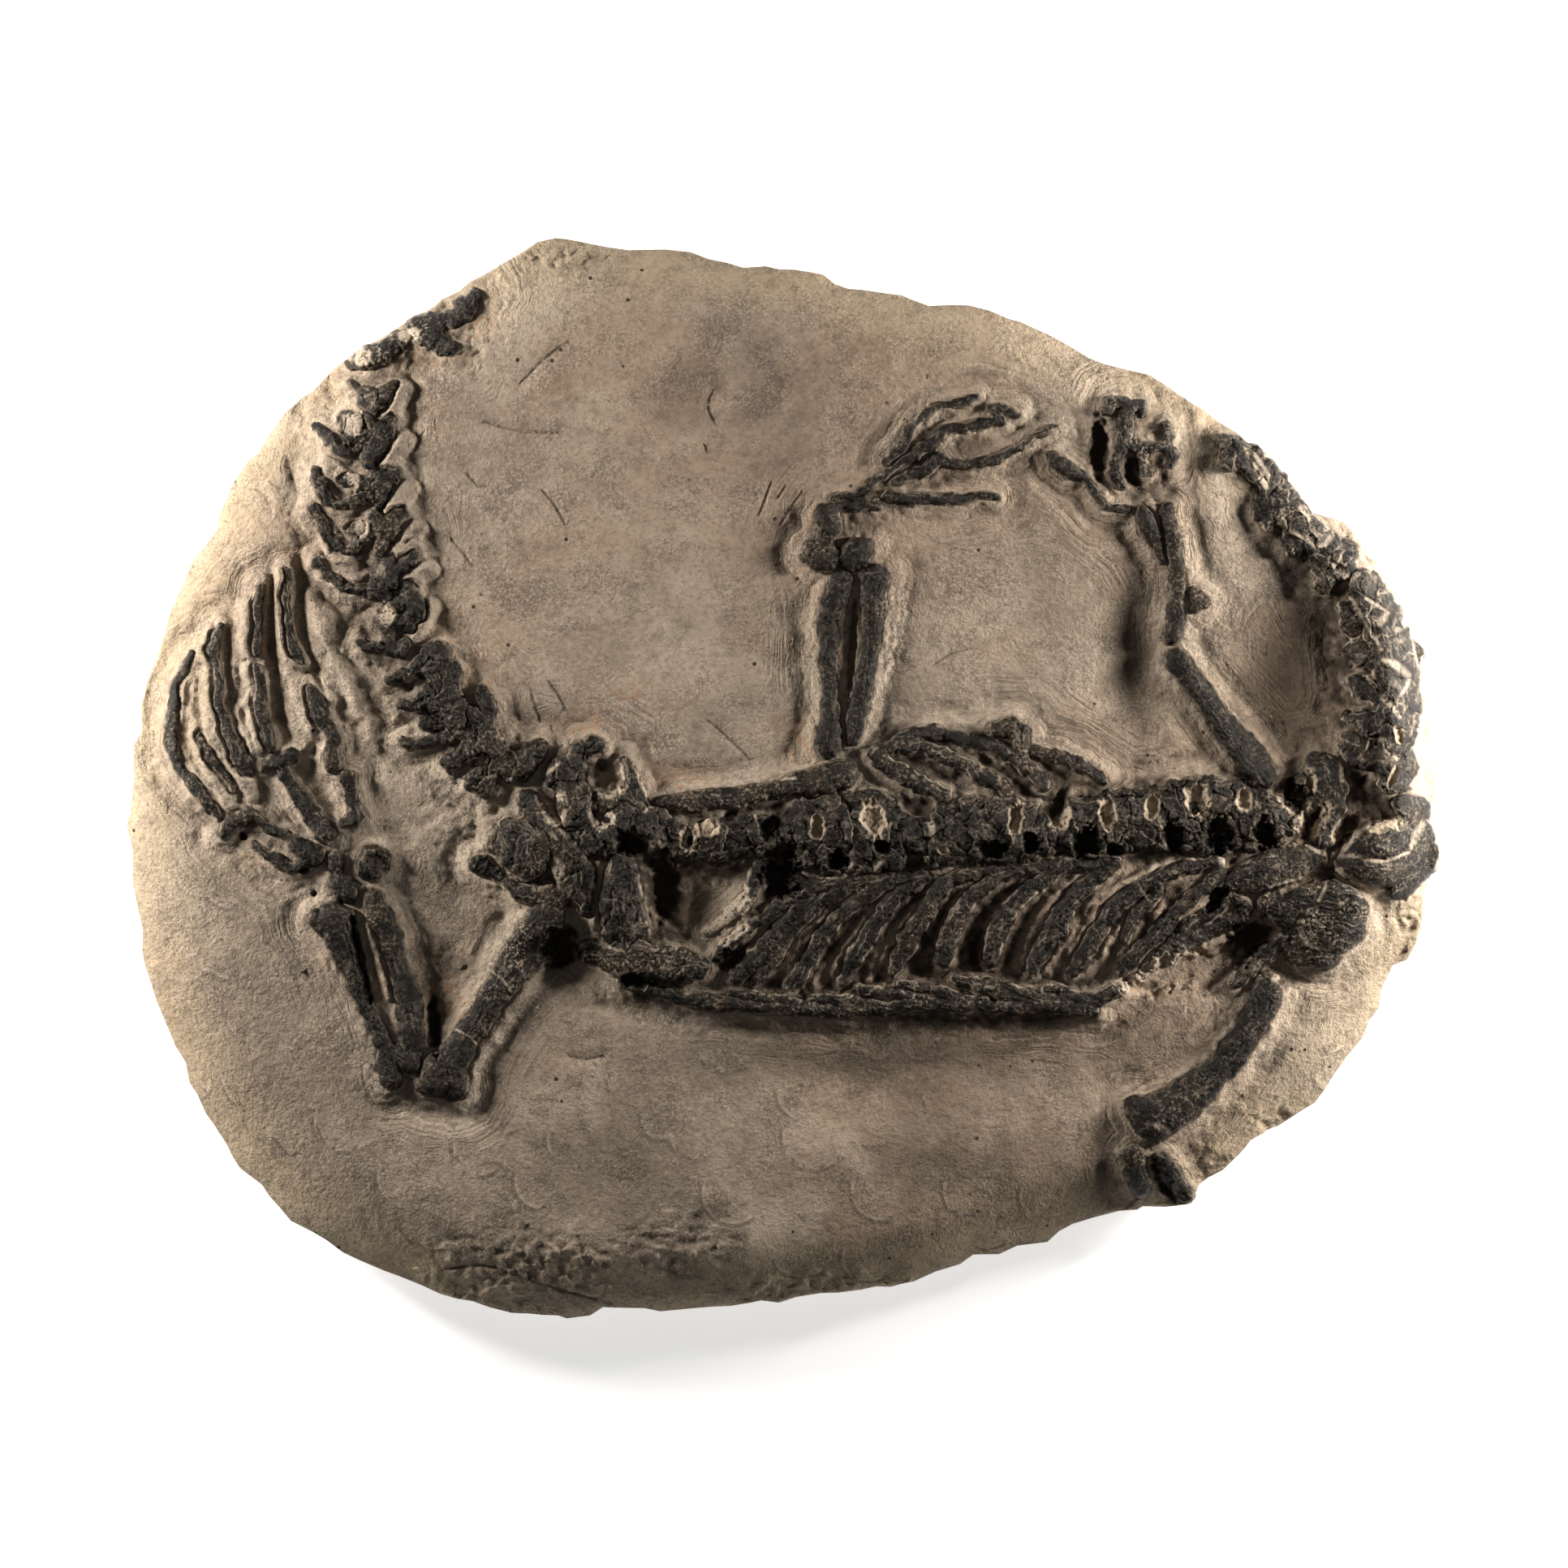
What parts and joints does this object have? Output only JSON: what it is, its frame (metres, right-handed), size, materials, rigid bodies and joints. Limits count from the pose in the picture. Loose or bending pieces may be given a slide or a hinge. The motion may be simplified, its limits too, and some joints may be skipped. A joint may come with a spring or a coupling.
{
  "type": "fossil skeleton slab",
  "caption": "Skeleton of a small long-necked reptile in low relief on the top of an oval stone slab with a flat underside.",
  "frame": {"origin": "middle of the bounding box, on the flat underside that the slab rests on", "axes": "+X towards the neck, along the slab's length; +Y up the picture, towards the upper legs; +Z out of the slab, on the side of the bones"},
  "size_m": [0.3539, 0.2925, 0.0355],
  "materials": {
    "stone": "rough, matt, with fine tool marks",
    "fossil_bone": "dull dark bone turned to stone"
  },
  "bodies": {
    "root": {"belly_ribs": "fossil_bone", "finger_bones": "fossil_bone", "forelimb_fragment": "fossil_bone", "hip_bar": "fossil_bone", "hip_large_plate": "fossil_bone", "hip_lower_plate": "fossil_bone", "hip_oval_plate": "fossil_bone", "lower_ankle_bone_1": "fossil_bone", "lower_ankle_bone_2": "fossil_bone", "lower_femur": "fossil_bone", "lower_fibula": "fossil_bone", "lower_humerus": "fossil_bone", "lower_metatarsal_1": "fossil_bone", "lower_metatarsal_2": "fossil_bone", "lower_metatarsal_3": "fossil_bone", "lower_radius": "fossil_bone", "lower_ribs_front": "fossil_bone", "lower_ribs_middle": "fossil_bone", "lower_ribs_rear": "fossil_bone", "lower_tibia": "fossil_bone", "lower_toe_1": "fossil_bone", "lower_toe_2": "fossil_bone", "lower_toe_3": "fossil_bone", "lower_toe_4": "fossil_bone", "lower_toe_4_tip": "fossil_bone", "lower_toe_5": "fossil_bone", "lower_toe_5_tip": "fossil_bone", "lower_ulna": "fossil_bone", "matrix_slab": "stone", "neck_front": "fossil_bone", "neck_rear": "fossil_bone", "shoulder_blade": "fossil_bone", "shoulder_long_plate": "fossil_bone", "shoulder_ring_plate": "fossil_bone", "shoulder_round_plate": "fossil_bone", "tail_base_vertebrae": "fossil_bone", "tail_tip_vertebrae": "fossil_bone", "tail_vertebra_3": "fossil_bone", "tail_vertebra_4": "fossil_bone", "tail_vertebra_5": "fossil_bone", "tail_vertebra_6": "fossil_bone", "tail_vertebra_7": "fossil_bone", "tail_vertebra_8": "fossil_bone", "tail_vertebra_9": "fossil_bone", "trunk_vertebrae_front": "fossil_bone", "trunk_vertebrae_middle": "fossil_bone", "trunk_vertebrae_rear": "fossil_bone", "upper_ankle_bones": "fossil_bone", "upper_femur": "fossil_bone", "upper_fibula": "fossil_bone", "upper_humerus": "fossil_bone", "upper_radius": "fossil_bone", "upper_ribs": "fossil_bone", "upper_tibia": "fossil_bone", "upper_toe_1": "fossil_bone", "upper_toe_2": "fossil_bone", "upper_toe_3": "fossil_bone", "upper_toe_4": "fossil_bone", "upper_ulna": "fossil_bone", "wrist_bones": "fossil_bone"}
  },
  "joints": []
}
